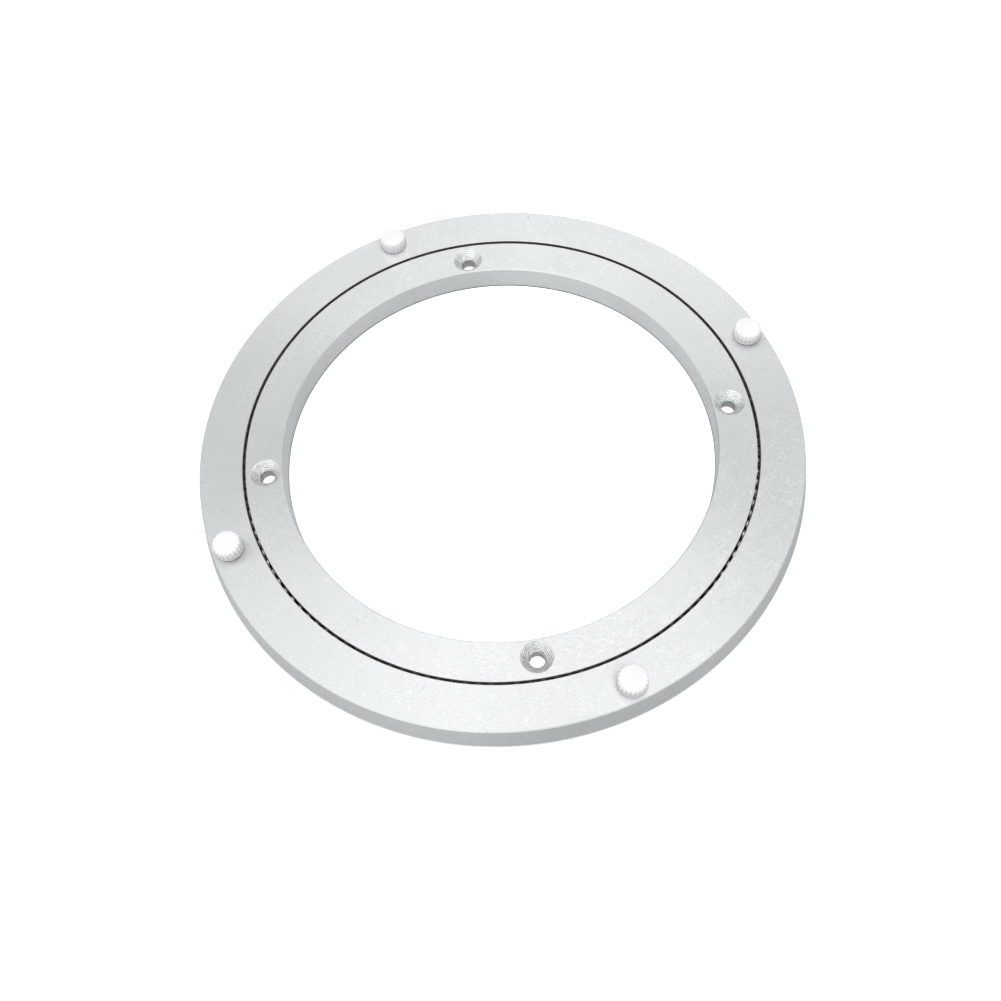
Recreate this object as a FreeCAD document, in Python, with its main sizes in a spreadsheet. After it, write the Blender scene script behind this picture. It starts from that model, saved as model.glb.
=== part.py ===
import FreeCAD, Part

import os
import re
from math import cos, radians, sin, sqrt

import Sketcher

# Lazy susan bearing: two flat aluminium rings, one inside the other, that turn on a race of
# caged steel balls. The inner ring is screwed to the table. The outer ring carries the board
# on four white non-skid caps.
#
# Frame: Z is the axis of rotation, pointing up, and the origin lies on it in the plane of the
# inner ring's underside. The screw holes lie on the X and Y axes.

# Driving sizes, in millimetres and degrees. The rings are built outwards from the bore, so every
# circle further out follows from the sizes before it.
SIZES = {
    # The inner ring, from the open middle outwards
    "bore_dia": 142.0,
    "inner_thick": 8.7,
    "rim_chamfer": 0.3,  # on the top edges of the bore and of the outer ring's tapered wall
    "seat_margin": 0.4,  # from that chamfer to a screw's seat
    "screw_holes": 4,
    "screw_hole_dia": 4.8,
    "screw_head_dia": 10.0,  # across each 90 degree seat; both faces have one
    "seat_land": 1.65,  # from the seat to the slot
    # The outer ring, from the slot outwards
    "ring_gap": 0.95,  # the open slot between the rings
    "cap_land": 3.4,  # from the slot to a cap
    "cap_inset": 0.7,  # from the cap to the head of the wall
    "wall_flare": 1.6,  # the wall's foot stands out this much further than its head
    "outer_thick": 8.5,
    "table_clear": 0.4,  # the outer ring runs this far above the inner ring's underside
    # The ball race between them
    "ball_dia": 3.0,
    "ball_play": 0.1,  # from a ball to each flank of the race
    # The ball cage, moulded as short comb strips laid end to end
    "strip_count": 9,
    "strip_gap": 0.2,  # between the ends of two strips
    "cage_thick": 0.4,
    "cage_play": 0.1,  # from the cage to the outer ring's side of the slot
    "spine_height": 1.44,
    "prong_width": 0.75,  # between two pockets, or a little more where they don't come out even
    "prong_rise": 0.9,  # the prong tips above the ball centres
    "pocket_play": 0.06,
    "pocket_lean": 7.0,  # the pocket's sides lean in towards its mouth and hold the ball
    # The four non-skid caps, each with a stem pushed into the outer ring
    "pads": 4,
    "pad_turn": 16.1,  # from a screw hole to the next cap
    "skirt_dia": 10.0,
    "skirt_sides": 24,
    "skirt_height": 0.8,  # the plain skirt below the serrated crown
    "crown_inset": 0.2,  # from the skirt in to the crown's teeth
    "crown_height": 4.4,  # of the whole cap above the ring
    "notches": 20,
    "notch_depth": 0.5,
    "notch_share": 0.22,  # half a notch, as a share of the way from one to the next
    "stem_dia": 4.0,
    "stem_sides": 12,
    "stem_length": 5.0,
    "stem_play": 0.05,
    "stem_well": 0.6,  # the hole is this much deeper than the stem is long
    # The hole that the balls are filled in through, and its plug
    "filler_turn": 61.1,
    "fill_clear": 0.5,  # the plug is this much wider than a ball, all round
    "plug_play": 0.05,
    "plug_sink": 0.45,  # the plug's head lies this far inside the wall
    "plug_seat": 0.05,  # from a ball's clearance to the plug's tip
    "socket_across": 2.0,
    "socket_depth": 2.2,
}

# Places on the rings, worked out from the sizes; all but the last two are radii
BORE = "(bore_dia / 2)"
SCREW_CIRCLE = f"({BORE} + rim_chamfer + seat_margin + screw_head_dia / 2)"
INNER_LAND = f"({SCREW_CIRCLE} + screw_head_dia / 2 + seat_land)"
PITCH = f"({INNER_LAND} + ring_gap / 2)"  # the circle of the ball centres
OUTER_LAND = f"({INNER_LAND} + ring_gap)"
CAP_CIRCLE = f"({OUTER_LAND} + cap_land + skirt_dia / 2)"
WALL_HEAD = f"({CAP_CIRCLE} + skirt_dia / 2 + cap_inset)"
WALL_FOOT = f"({WALL_HEAD} + wall_flare)"
CAGE_OUTSIDE = f"({OUTER_LAND} - cage_play)"
CAGE_INSIDE = f"({CAGE_OUTSIDE} - cage_thick)"
SEAT_DEPTH = "((screw_head_dia - screw_hole_dia) / 2)"
OUTER_TOP = "(table_clear + outer_thick)"

# The race, halfway up the two rings
RACE_HEIGHT = "((inner_thick / 2 + table_clear + outer_thick / 2) / 2)"
FLANK_REACH = "((ball_dia / 2 + ball_play) * sqrt(2))"  # where the race's two flanks would meet
RACE_MOUTH = f"({FLANK_REACH} - ring_gap / 2)"

# The cage's pockets: as many as leave the prongs their width
POCKET_HALF = "((ball_dia / 2 + pocket_play) / cos(pocket_lean))"
POCKETS = f"floor(2 * pi * {PITCH} / strip_count / (2 * {POCKET_HALF} + prong_width))"
BALL_STEP = f"(360 / strip_count / {POCKETS})"
END_ANGLE = f"(90 * strip_gap / (pi * {PITCH}))"  # a strip stops this far short of its share

# The filling hole
PLUG_DIA = "(ball_dia + 2 * fill_clear)"

V = FreeCAD.Vector
ORIGIN_POINT = (-1, 1)

doc = FreeCAD.newDocument("LazySusanBearing")
sheet = doc.addObject("Spreadsheet::Sheet", "Sizes")
for row, (alias, number) in enumerate(SIZES.items(), start=1):
    sheet.set(f"A{row}", alias)
    sheet.set(f"B{row}", str(number))
    sheet.setAlias(f"B{row}", alias)
doc.recompute()


def cells(formula):
    """Return a formula with the sheet's name before each of its cells."""
    return re.sub(r"[a-z_]+", lambda word: f"Sizes.{word[0]}" if word[0] in SIZES else word[0], formula)


def value(formula):
    """Return what a formula on the sheet's cells comes to."""
    return float(sheet.evalExpression(cells(formula)))


def bind(thing, **formulas):
    """Tie properties to formulas on the sheet; a double underscore stands for a dot."""
    for name, formula in formulas.items():
        thing.setExpression(name.replace("__", "."), cells(formula))


def origin_part(body, role):
    """Return a body's own origin plane or axis."""
    return next(part for part in body.Origin.OriginFeatures if part.Role == role)


def new_sketch(body, name, role):
    """Return an empty sketch on one of a body's origin planes."""
    sketch = body.newObject("Sketcher::SketchObject", name)
    sketch.AttachmentSupport = [(origin_part(body, role), "")]
    sketch.MapMode = "FlatFace"
    return sketch


def turn_to_face(sketch, angle, reach="0", height="0"):
    """Turn a sketch of the YZ plane about Z to face outwards, and move it out and up."""
    sketch.AttachmentOffset = FreeCAD.Placement(V(), FreeCAD.Rotation(V(0, 1, 0), value(angle)))
    bind(
        sketch,
        AttachmentOffset__Rotation__Angle=angle,
        AttachmentOffset__Base__x=f"{reach} * sin({angle})",
        AttachmentOffset__Base__y=height,
        AttachmentOffset__Base__z=f"{reach} * cos({angle})",
    )


def pin_point(sketch, edge, end, across, up):
    """Hold one end of an edge at two formulas measured from the sketch's origin."""
    for kind, formula in (("DistanceX", across), ("DistanceY", up)):
        rule = Sketcher.Constraint(kind, *ORIGIN_POINT, edge, end, value(formula))
        place = sketch.addConstraint(rule)
        sketch.setExpression(f"Constraints[{place}]", cells(formula))


def draw_outline(sketch, points):
    """Draw a closed outline of straight edges through points given as formulas."""
    start, end = 1, 2
    corners = [V(value(across), value(up), 0) for across, up in points]
    count = len(corners)
    for edge in range(count):
        sketch.addGeometry(Part.LineSegment(corners[edge], corners[(edge + 1) % count]), False)
    for edge in range(count):
        sketch.addConstraint(Sketcher.Constraint("Coincident", edge, end, (edge + 1) % count, start))
    for edge, (across, up) in enumerate(points):
        pin_point(sketch, edge, start, across, up)


def draw_circle(sketch, across, up, diameter):
    """Draw a circle whose centre and diameter are given as formulas."""
    middle = 3
    centre = V(value(across), value(up), 0)
    edge = sketch.addGeometry(Part.Circle(centre, V(0, 0, 1), value(diameter) / 2), False)
    pin_point(sketch, edge, middle, across, up)
    rule = sketch.addConstraint(Sketcher.Constraint("Diameter", edge, value(diameter)))
    sketch.setExpression(f"Constraints[{rule}]", cells(diameter))


def revolve(body, points):
    """Add an outline in the XZ plane, turned once round Z."""
    sketch = new_sketch(body, "Profile", "XZ_Plane")
    draw_outline(sketch, points)
    turned = body.newObject("PartDesign::Revolution", "Turned")
    turned.Profile = sketch
    turned.ReferenceAxis = (sketch, ["V_Axis"])


def cut(body, sketch, depth=None, outwards=False):
    """Cut a sketch into a body, through all of it or to a depth, and check that it cut."""
    doc.recompute()
    before = body.Shape.Volume
    pocket = body.newObject("PartDesign::Pocket", "Cut")
    pocket.Profile = sketch
    pocket.Reversed = outwards
    if depth is None:
        pocket.Type = "ThroughAll"
    else:
        bind(pocket, Length=depth)
    doc.recompute()
    if not pocket.Shape.Volume < before:
        raise RuntimeError(f"{body.Label}: {sketch.Label} cuts nothing")
    return pocket


def repeat(body, features, count, angle="360"):
    """Repeat features about Z, over a whole turn or with the last copy at the angle."""
    pattern = body.newObject("PartDesign::PolarPattern", "Repeated")
    pattern.Originals = features
    pattern.Axis = (origin_part(body, "Z_Axis"), [""])
    bind(pattern, Occurrences=count, Angle=angle)
    body.Tip = pattern


def new_body(name):
    """Return an empty body whose label names the sub-part."""
    body = doc.addObject("PartDesign::Body", name)
    body.Label = name
    return body


def make_outer_ring():
    """The turning ring: tapered wall, V race, holes for the caps' stems and for the filler plug."""
    body = new_body("outer_ring")
    revolve(body, [
        (OUTER_LAND, "table_clear"),
        (WALL_FOOT, "table_clear"),
        (WALL_HEAD, f"{OUTER_TOP} - rim_chamfer"),
        (f"{WALL_HEAD} - rim_chamfer", OUTER_TOP),
        (OUTER_LAND, OUTER_TOP),
        (OUTER_LAND, f"{RACE_HEIGHT} + {RACE_MOUTH}"),
        (f"{PITCH} + {FLANK_REACH}", RACE_HEIGHT),
        (OUTER_LAND, f"{RACE_HEIGHT} - {RACE_MOUTH}"),
    ])
    stem_hole = new_sketch(body, "StemHole", "XY_Plane")
    bind(stem_hole, AttachmentOffset__Base__z=OUTER_TOP)
    draw_circle(
        stem_hole,
        f"{CAP_CIRCLE} * cos(pad_turn)",
        f"{CAP_CIRCLE} * sin(pad_turn)",
        "stem_dia + 2 * stem_play",
    )
    repeat(body, [cut(body, stem_hole, depth="stem_length + stem_well")], "pads")
    filler = new_sketch(body, "FillerHole", "YZ_Plane")
    turn_to_face(filler, "filler_turn", height=RACE_HEIGHT)
    draw_circle(filler, "0", "0", f"{PLUG_DIA} + 2 * plug_play")
    cut(body, filler, outwards=True)
    return body


def make_inner_ring():
    """The fixed ring: bore, V race and screw holes with a seat in both faces."""
    body = new_body("inner_ring")
    revolve(body, [
        (BORE, "0"),
        (INNER_LAND, "0"),
        (INNER_LAND, f"{RACE_HEIGHT} - {RACE_MOUTH}"),
        (f"{PITCH} - {FLANK_REACH}", RACE_HEIGHT),
        (INNER_LAND, f"{RACE_HEIGHT} + {RACE_MOUTH}"),
        (INNER_LAND, "inner_thick"),
        (f"{BORE} + rim_chamfer", "inner_thick"),
        (BORE, "inner_thick - rim_chamfer"),
    ])
    hole, seat = "screw_hole_dia / 2", "screw_head_dia / 2"
    shank = body.newObject("PartDesign::SubtractiveCylinder", "ScrewShank")
    bind(shank, Radius=hole, Height="inner_thick", Placement__Base__x=SCREW_CIRCLE)
    upper = body.newObject("PartDesign::SubtractiveCone", "UpperSeat")
    bind(upper, Radius1=hole, Radius2=seat, Height=SEAT_DEPTH, Placement__Base__x=SCREW_CIRCLE)
    bind(upper, Placement__Base__z=f"inner_thick - {SEAT_DEPTH}")
    lower = body.newObject("PartDesign::SubtractiveCone", "LowerSeat")
    bind(lower, Radius1=seat, Radius2=hole, Height=SEAT_DEPTH, Placement__Base__x=SCREW_CIRCLE)
    doc.recompute()
    repeat(body, [shank, upper, lower], "screw_holes")
    return body


def extrude(body, sketch, height):
    """Add a sketch's outline, raised along its normal."""
    raised = body.newObject("PartDesign::Pad", "Raised")
    raised.Profile = sketch
    bind(raised, Length=height)
    doc.recompute()


def crown_outline():
    """Return the serrated outline of a cap's crown: a flat tooth and a V notch, again and again."""
    tip = "(skirt_dia / 2 - crown_inset)"
    root = f"({tip} - notch_depth)"
    points = []
    for notch in range(int(SIZES["notches"])):
        for radius, share in ((root, "0"), (tip, "notch_share"), (tip, "1 - notch_share")):
            angle = f"(360 * ({notch} + {share}) / notches)"
            points.append((f"{radius} * cos{angle}", f"{radius} * sin{angle}"))
    return points


def make_pad(index):
    """A white cap: a stem for the outer ring, a plain skirt and a serrated crown."""
    body = new_body(f"pad_{index + 1}")
    crown = new_sketch(body, "Crown", "XY_Plane")
    draw_outline(crown, crown_outline())
    extrude(body, crown, "crown_height")
    skirt = body.newObject("PartDesign::AdditivePrism", "Skirt")
    bind(skirt, Polygon="skirt_sides", Circumradius="skirt_dia / 2", Height="skirt_height")
    stem = body.newObject("PartDesign::AdditivePrism", "Stem")
    bind(stem, Polygon="stem_sides", Circumradius="stem_dia / 2", Height="stem_length + skirt_height")
    bind(stem, Placement__Base__z="-stem_length")
    angle = f"(pad_turn + {index} * 360 / pads)"
    bind(
        body,
        Placement__Base__x=f"{CAP_CIRCLE} * cos{angle}",
        Placement__Base__y=f"{CAP_CIRCLE} * sin{angle}",
        Placement__Base__z=OUTER_TOP,
        Placement__Rotation__Angle=angle,
    )
    return body


def make_filler_plug():
    """The plug that closes the ball filling hole, with a hexagon socket in its head."""
    body = new_body("filler_plug")
    tip = f"({PITCH} + ball_dia / 2 + ball_play + plug_seat)"
    wall_slope = "(wall_flare / (outer_thick - rim_chamfer))"
    wall_here = f"({WALL_FOOT} - ({RACE_HEIGHT} - table_clear) * {wall_slope})"
    head = f"({wall_here} - plug_sink)"
    outline = new_sketch(body, "Round", "YZ_Plane")
    turn_to_face(outline, "filler_turn", tip, RACE_HEIGHT)
    draw_circle(outline, "0", "0", PLUG_DIA)
    extrude(body, outline, f"{head} - {tip}")
    socket = new_sketch(body, "Socket", "YZ_Plane")
    turn_to_face(socket, "filler_turn", head, RACE_HEIGHT)
    corner = "socket_across / sqrt(3)"
    draw_outline(socket, [(f"{corner} * cos({60 * k})", f"{corner} * sin({60 * k})") for k in range(6)])
    cut(body, socket, depth="socket_depth")
    return body


def make_cage_strip(index):
    """One comb strip of the cage: a spine below the balls, and a prong between each two of them."""
    body = new_body(f"cage_strip_{index + 1}")
    count = int(value(POCKETS))
    pocket_floor = f"({RACE_HEIGHT} - ball_dia / 2 - pocket_play)"
    foot = f"({pocket_floor} - spine_height)"
    bends = [f"({k} * {BALL_STEP})" for k in range(1, count)]
    bends = [END_ANGLE, *bends, f"(360 / strip_count - {END_ANGLE})"]
    band = new_sketch(body, "Band", "XY_Plane")
    bind(band, AttachmentOffset__Base__z=foot)
    walk = [(CAGE_OUTSIDE, angle) for angle in bends] + [(CAGE_INSIDE, angle) for angle in reversed(bends)]
    draw_outline(band, [(f"{radius} * cos{angle}", f"{radius} * sin{angle}") for radius, angle in walk])
    extrude(body, band, f"{RACE_HEIGHT} + prong_rise - {foot}")
    pocket = new_sketch(body, "Pocket", "YZ_Plane")
    turn_to_face(pocket, f"({BALL_STEP} / 2)")
    lean = "tan(pocket_lean)"
    wide = f"({POCKET_HALF} + (ball_dia / 2 + pocket_play) * {lean})"
    narrow = f"({POCKET_HALF} - 2 * prong_rise * {lean})"
    draw_outline(pocket, [
        (f"-{wide}", pocket_floor),
        (wide, pocket_floor),
        (narrow, f"{RACE_HEIGHT} + 2 * prong_rise"),
        (f"-{narrow}", f"{RACE_HEIGHT} + 2 * prong_rise"),
    ])
    first = cut(body, pocket, outwards=True)
    repeat(body, [first], POCKETS, angle=f"({POCKETS} - 1) * {BALL_STEP}")
    bind(body, Placement__Rotation__Angle=f"{index} * 360 / strip_count")
    return body


def make_ball():
    """Return one steel ball at the origin, in twenty flat faces.

    Its corners lie on the true sphere, so it clears the race as a round ball does.
    """
    radius = value("ball_dia / 2")
    poles = [V(0, 0, radius), V(0, 0, -radius)]
    belts = []
    for height, lag in ((radius / sqrt(5), 0), (-radius / sqrt(5), 36)):
        turns = (radians(lag + 72 * k) for k in range(5))
        reach = 2 * radius / sqrt(5)
        belts.append([V(reach * cos(turn), reach * sin(turn), height) for turn in turns])
    upper, lower = belts
    triangles = []
    for k in range(5):
        after = (k + 1) % 5
        triangles += [(poles[0], upper[k], upper[after]), (upper[k], lower[k], upper[after])]
        triangles += [(poles[1], lower[after], lower[k]), (lower[k], lower[after], upper[after])]
    faces = [Part.Face(Part.makePolygon([*triangle, triangle[0]])) for triangle in triangles]
    return Part.Solid(Part.makeShell(faces))


def make_balls(index):
    """The balls of one cage strip, a group of separate solids."""
    group = doc.addObject("Part::Feature", f"balls_{index + 1}")
    group.Label = f"balls_{index + 1}"
    step, strip = value(BALL_STEP), value("360 / strip_count")
    centre = V(value(PITCH), 0, value(RACE_HEIGHT))
    placed = []
    for pocket in range(int(value(POCKETS))):
        turn = FreeCAD.Rotation(V(0, 0, 1), index * strip + (pocket + 0.5) * step)
        solid = make_ball()
        solid.Placement = FreeCAD.Placement(turn.multVec(centre), turn)
        placed.append(solid)
    group.Shape = Part.makeCompound(placed)
    return group


strips = range(int(SIZES["strip_count"]))
subparts = [make_outer_ring(), make_inner_ring(), make_filler_plug()]
subparts += [make_pad(index) for index in range(int(SIZES["pads"]))]
subparts += [make_cage_strip(index) for index in strips]
subparts += [make_balls(index) for index in strips]
doc.recompute()

for thing in doc.Objects:
    if "Invalid" in thing.State or "Error" in thing.State:
        raise RuntimeError(f"{thing.Label} failed: {thing.State}")
for subpart in subparts:
    if subpart.Shape.isNull() or not subpart.Shape.isValid():
        raise RuntimeError(f"{subpart.Label} has no valid shape")

os.makedirs("parts", exist_ok=True)
for subpart in subparts:
    subpart.Shape.exportStep(f"parts/{subpart.Label}.step")
    print(subpart.Label, len(subpart.Shape.Solids), round(subpart.Shape.Volume, 3))
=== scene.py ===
"""Lazy susan bearing: two aluminium rings on a caged ball race, dressed and set in a white studio.

All sizes are in millimetres until a mesh is finished, and in metres from there on.
"""

from __future__ import annotations

import logging
import math
from collections.abc import Callable, Iterable
from dataclasses import dataclass, field
from enum import Enum, IntEnum

import bmesh
import bpy
from mathutils import Matrix, Vector

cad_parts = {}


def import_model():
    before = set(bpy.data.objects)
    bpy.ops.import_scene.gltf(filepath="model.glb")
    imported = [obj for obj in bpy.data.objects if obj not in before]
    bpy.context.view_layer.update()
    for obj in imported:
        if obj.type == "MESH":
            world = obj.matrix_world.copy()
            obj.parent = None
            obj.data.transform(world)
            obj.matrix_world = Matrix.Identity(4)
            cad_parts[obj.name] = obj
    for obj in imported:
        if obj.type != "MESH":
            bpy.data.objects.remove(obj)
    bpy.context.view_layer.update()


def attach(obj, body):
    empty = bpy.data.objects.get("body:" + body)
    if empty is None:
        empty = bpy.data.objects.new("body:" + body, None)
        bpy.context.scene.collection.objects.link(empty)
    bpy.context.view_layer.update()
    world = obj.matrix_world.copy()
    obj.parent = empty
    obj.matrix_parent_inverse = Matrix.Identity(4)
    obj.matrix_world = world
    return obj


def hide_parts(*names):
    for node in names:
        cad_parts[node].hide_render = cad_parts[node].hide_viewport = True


LOG = logging.getLogger("lazy_susan_bearing")
MM = 0.001
QUARTER_TURN = 0.25

# How near to the axis the end faces of a full shape start, before they are filled
NEAR_AXIS = 0.01

# Where nearly all values of a noise lie
NOISE_SPAN = (0.36, 0.64)

FLOAT, VECTOR = "NodeSocketFloat", "NodeSocketVector"
Colour = tuple[float, float, float, float]
Socket = bpy.types.NodeSocket
Shape = bmesh.types.BMesh


class Body(Enum):
    """The rigid bodies of the bearing."""

    BASE = "base"
    TURNTABLE = "turntable"
    CAGE = "cage"


class Slot(Enum):
    """The material slots of the bearing."""

    RING = "ring_aluminium"
    CAP = "cap_plastic"
    CAGE = "cage_plastic"
    BALL = "ball_steel"
    PLUG = "plug_steel"


class Place(IntEnum):
    """The place of each finish in a ring's material list."""

    TOP = 0
    SEAT = 1
    SHADED_RACE = 2
    SHADED_WALL = 3
    SHADED_SHANK = 4


# Materials


class Graph:
    """A node tree that is being wired, of a material or of a node group."""

    def __init__(self, tree: bpy.types.NodeTree) -> None:
        """Start on an emptied tree."""
        self.tree = tree
        tree.nodes.clear()

    def add(self, kind: str, settings: dict | None = None, **inputs: object) -> bpy.types.Node:
        """Add a node, set it up and wire or fill its inputs.

        Args:
            kind: the node's type without its leading ShaderNode.
            settings: the node's own properties.
            inputs: what each input gets, named as feed has it.

        Returns:
            The new node.
        """
        prefix = "" if kind.startswith("NodeGroup") else "ShaderNode"
        node = self.tree.nodes.new(prefix + kind)
        for key, value in (settings or {}).items():
            setattr(node, key, value)
        self.feed(node, **inputs)
        return node

    def feed(self, node: bpy.types.Node, **inputs: object) -> None:
        """Link a node's inputs to sockets, or set their values.

        Args:
            node: the node whose inputs they are.
            inputs: sockets to link or values to set; an underscore stands for a space, and
                i0, i1 and so on name an input by its place.
        """
        for key, value in inputs.items():
            place = int(key[1:]) if key[0] == "i" and key[1:].isdigit() else key.replace("_", " ")
            if isinstance(value, Socket):
                self.tree.links.new(value, node.inputs[place])
            else:
                node.inputs[place].default_value = value

    def math(self, operation: str, *values: object, clamp: bool = False) -> Socket:
        """Return the result of a Math node, from one to three sockets or numbers."""
        inputs = {f"i{place}": value for place, value in enumerate(values)}
        return self.add("Math", {"operation": operation, "use_clamp": clamp}, **inputs).outputs[0]

    def remap(self, value: object, low: float, high: float, to_low: float, to_high: float) -> Socket:
        """Return a value stretched from one range to another and held inside it."""
        node = self.add("MapRange", {"clamp": True}, i0=value, i1=low, i2=high, i3=to_low, i4=to_high)
        return node.outputs[0]

    def mix(self, factor: object, first: object, second: object) -> Socket:
        """Return the first colour where the factor is 0, the second at 1 and a mix in between."""
        return self.add("Mix", {"data_type": "RGBA"}, i0=factor, i6=first, i7=second).outputs[2]

    def reach(self, x: Socket, y: Socket) -> Socket:
        """Return how far a point lies from the axis."""
        return self.math("SQRT", self.math("ADD", self.math("POWER", x, 2.0), self.math("POWER", y, 2.0)))

    def noise(self, vector: object, scale: object, detail: float = 2.0, roughness: float = 0.5) -> Socket:
        """Return a noise with so many features to the metre, and so many finer octaves of it."""
        node = self.add("TexNoise", Vector=vector, Scale=scale, Detail=detail, Roughness=roughness)
        return node.outputs[0]


@dataclass(frozen=True)
class NodeGroup:
    """A shader node group that reads a vector and some numbers, and puts out masks."""

    name: str
    numbers: dict[str, float]
    outputs: tuple[str, ...]
    wire: Callable[[Graph, bpy.types.Node], dict[str, Socket]]

    def build(self) -> bpy.types.NodeTree:
        """Make the group the first time.

        Returns:
            The group's tree.
        """
        if self.name in bpy.data.node_groups:
            return bpy.data.node_groups[self.name]
        tree = bpy.data.node_groups.new(self.name, "ShaderNodeTree")
        tree.interface.new_socket("Vector", in_out="INPUT", socket_type=VECTOR)
        for title, value in self.numbers.items():
            socket = tree.interface.new_socket(title, in_out="INPUT", socket_type=FLOAT)
            socket.default_value = value
        for title in self.outputs:
            tree.interface.new_socket(title, in_out="OUTPUT", socket_type=FLOAT)
        graph = Graph(tree)
        graph.add("NodeGroupOutput", **self.wire(graph, graph.add("NodeGroupInput")))
        return tree

    def use(self, graph: Graph, **inputs: object) -> bpy.types.Node:
        """Return a node of this group in another graph."""
        return graph.add("Group", {"node_tree": self.build()}, **inputs)


def wire_grain(graph: Graph, given: bpy.types.Node) -> dict[str, Socket]:
    """Wire the grain that sandblasting leaves: fine dimples, and soft clouds between them.

    Args:
        graph: the group's graph.
        given: the node with the group's inputs.

    Returns:
        The group's outputs.
    """
    place, scale = given.outputs["Vector"], given.outputs["Scale"]
    fine = graph.noise(place, scale, 3.0, 0.62)
    coarse = graph.noise(place, graph.math("MULTIPLY", scale, 0.21), 4.0, 0.55)
    grain = graph.math("ADD", graph.math("MULTIPLY", fine, 0.7), graph.math("MULTIPLY", coarse, 0.3))
    clouds = graph.noise(place, 34.0, 4.0, 0.6)
    return {
        "Grain": graph.remap(grain, *NOISE_SPAN, 0.0, 1.0),
        "Clouds": graph.remap(clouds, *NOISE_SPAN, 0.0, 1.0),
    }


def wire_streaks(graph: Graph, given: bpy.types.Node) -> dict[str, Socket]:
    """Wire short streaks round the axis, in patches, some above the middle value and some below.

    Args:
        graph: the group's graph.
        given: the node with the group's inputs.

    Returns:
        The group's outputs.
    """
    place = graph.add("SeparateXYZ", Vector=given.outputs["Vector"])
    x, y = place.outputs[0], place.outputs[1]
    track = graph.add(
        "CombineXYZ",
        X=graph.math("MULTIPLY", graph.math("ARCTAN2", y, x), given.outputs["Along"]),
        Y=graph.math("MULTIPLY", graph.reach(x, y), given.outputs["Across"]),
        Z=graph.math("MULTIPLY", place.outputs[2], given.outputs["Across"]),
    )
    swing = graph.math("SUBTRACT", graph.noise(track.outputs[0], 1.0), 0.5)
    patches = graph.remap(graph.noise(given.outputs["Vector"], 75.0, 3.0, 0.6), 0.38, 0.66, 0.3, 1.5)
    swing = graph.math("MULTIPLY", swing, patches)
    return {"Streaks": graph.math("MULTIPLY_ADD", swing, 2.0, 0.5, clamp=True)}


def wire_specks(graph: Graph, given: bpy.types.Node) -> dict[str, Socket]:
    """Wire sparse small specks, each with its own size, as a mask.

    Args:
        graph: the group's graph.
        given: the node with the group's inputs.

    Returns:
        The group's outputs.
    """
    place, scale = given.outputs["Vector"], given.outputs["Scale"]
    warp = graph.add("TexNoise", Vector=place, Scale=900.0, Detail=1.0).outputs["Color"]
    bend = (0.0009, 0.0009, 0.0009)
    bent = graph.add("VectorMath", {"operation": "MULTIPLY_ADD"}, i0=warp, i1=bend, i2=place)
    cells = graph.add("TexVoronoi", Vector=bent.outputs[0], Scale=scale, Randomness=1.0)
    pick = graph.add("SeparateColor", Color=cells.outputs["Color"])
    size = graph.math("MULTIPLY", pick.outputs[1], given.outputs["Size"])
    near = graph.math("LESS_THAN", cells.outputs["Distance"], size)
    chosen = graph.math("LESS_THAN", pick.outputs[0], given.outputs["Share"])
    return {"Mask": graph.math("MULTIPLY", near, chosen)}


def beside_hole(graph: Graph, place: Socket, radius: object) -> tuple[Socket, Socket]:
    """Wire how far a point lies from the middle of the nearest of four holes.

    Args:
        graph: the graph to wire it in.
        place: the point.
        radius: how far the holes lie from the axis.

    Returns:
        The distances along X and Y.
    """
    point = graph.add("SeparateXYZ", Vector=place)
    x, y = point.outputs[0], point.outputs[1]
    on_x = graph.math("GREATER_THAN", graph.math("ABSOLUTE", x), graph.math("ABSOLUTE", y))
    aside = []
    for value, share in ((x, on_x), (y, graph.math("SUBTRACT", 1.0, on_x))):
        centre = graph.math("MULTIPLY", graph.math("SIGN", value), radius)
        aside.append(graph.math("SUBTRACT", value, graph.math("MULTIPLY", centre, share)))
    return aside[0], aside[1]


def wire_rings(graph: Graph, given: bpy.types.Node) -> dict[str, Socket]:
    """Wire the rings that a cutter leaves round the nearest of four holes, and its chatter.

    Args:
        graph: the group's graph.
        given: the node with the group's inputs.

    Returns:
        The group's outputs.
    """
    x, y = beside_hole(graph, given.outputs["Vector"], given.outputs["Circle radius"])
    spread = graph.add("CombineXYZ", X=x, Y=y).outputs[0]
    reach = graph.add("VectorMath", {"operation": "LENGTH"}, i0=spread).outputs[1]
    way = graph.add("VectorMath", {"operation": "NORMALIZE"}, i0=spread).outputs[0]
    along = graph.add("CombineXYZ", Z=graph.math("MULTIPLY", reach, 900.0)).outputs[0]
    stretch = (2.6, 2.6, 0.0)
    track = graph.add("VectorMath", {"operation": "MULTIPLY_ADD"}, i0=way, i1=stretch, i2=along)
    chatter = graph.remap(graph.noise(track.outputs[0], 1.0, 4.0, 0.65), *NOISE_SPAN, 0.0, 1.0)
    wobble = graph.noise(given.outputs["Vector"], 500.0, 2.0, 0.6)
    turns = graph.math("MULTIPLY", reach, given.outputs["Rings"])
    phase = graph.math("ADD", turns, graph.math("MULTIPLY", wobble, 10.0))
    wave = graph.math("MULTIPLY_ADD", graph.math("SINE", phase), 0.5, 0.5)
    rings = graph.math("MULTIPLY", wave, graph.math("MULTIPLY_ADD", chatter, 0.8, 0.2))
    return {"Rings": rings, "Chatter": chatter}


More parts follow.
